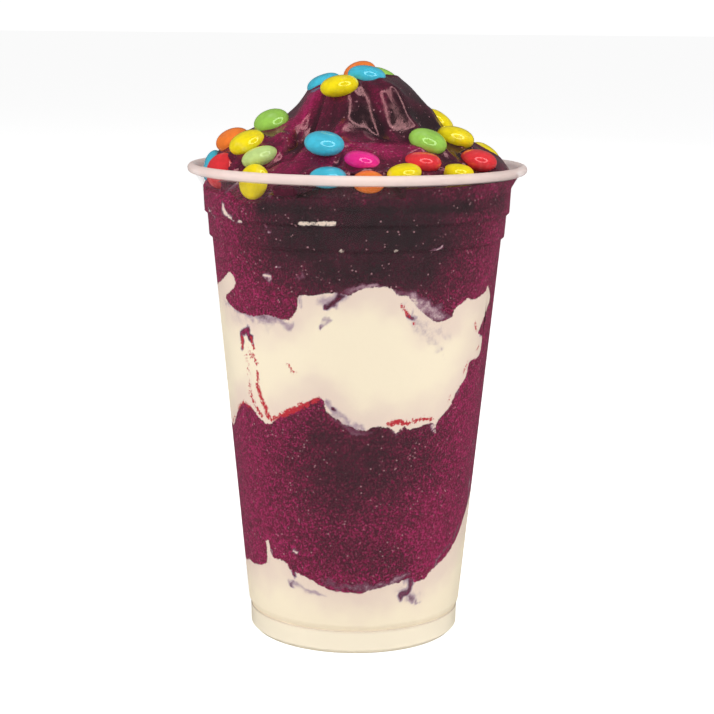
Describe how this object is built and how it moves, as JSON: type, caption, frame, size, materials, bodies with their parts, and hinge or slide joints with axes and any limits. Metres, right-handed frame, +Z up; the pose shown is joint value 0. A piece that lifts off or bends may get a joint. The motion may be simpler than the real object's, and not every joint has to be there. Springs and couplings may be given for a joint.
{
  "type": "layered acai dessert in a plastic cup",
  "caption": "Clear tapering plastic cup filled with bands of purple acai and pale cream, heaped above the rim into a mound dotted with coloured sugar-shelled candies.",
  "frame": {"origin": "centre of the cup's foot on the surface it stands on", "axes": "+Z up along the cup's axis; -Y is the front, with the taller right-hand cream edge towards +X"},
  "size_m": [0.0794, 0.0794, 0.1354],
  "materials": {
    "cup_plastic": "thin, clear to slightly milky polypropylene, whiter in its rolled rim",
    "cream": "smooth condensed-milk cream, pale ivory, satin",
    "acai": "dark purple-red frozen pulp, fine-grained with pinkish frost specks, wet gloss on top",
    "candy_yellow": "polished sugar shell",
    "candy_blue": "polished sugar shell",
    "candy_green": "polished sugar shell",
    "candy_lime": "polished sugar shell",
    "candy_orange": "polished sugar shell",
    "candy_red": "polished sugar shell",
    "candy_pink": "polished sugar shell"
  },
  "bodies": {
    "root": {"acai_lower": "acai", "acai_upper": "acai", "candy_01_orange": "candy_orange", "candy_02_blue": "candy_blue", "candy_03_green": "candy_green", "candy_04_blue": "candy_blue", "candy_05_yellow": "candy_yellow", "candy_06_green": "candy_green", "candy_07_orange": "candy_orange", "candy_08_yellow": "candy_yellow", "candy_09_lime": "candy_lime", "candy_10_red": "candy_red", "candy_11_blue": "candy_blue", "candy_12_yellow": "candy_yellow", "candy_13_blue": "candy_blue", "candy_14_pink": "candy_pink", "candy_15_blue": "candy_blue", "candy_16_orange": "candy_orange", "candy_17_yellow": "candy_yellow", "candy_18_red": "candy_red", "candy_19_green": "candy_green", "candy_20_yellow": "candy_yellow", "candy_21_yellow": "candy_yellow", "candy_22_yellow": "candy_yellow", "candy_23_red": "candy_red", "candy_24_yellow": "candy_yellow", "candy_25_yellow": "candy_yellow", "candy_26_blue": "candy_blue", "candy_27_red": "candy_red", "candy_28_green": "candy_green", "candy_29_orange": "candy_orange", "candy_30_pink": "candy_pink", "candy_31_lime": "candy_lime", "candy_32_yellow": "candy_yellow", "cream_base": "cream", "cream_middle": "cream", "cup": "cup_plastic"}
  },
  "joints": []
}
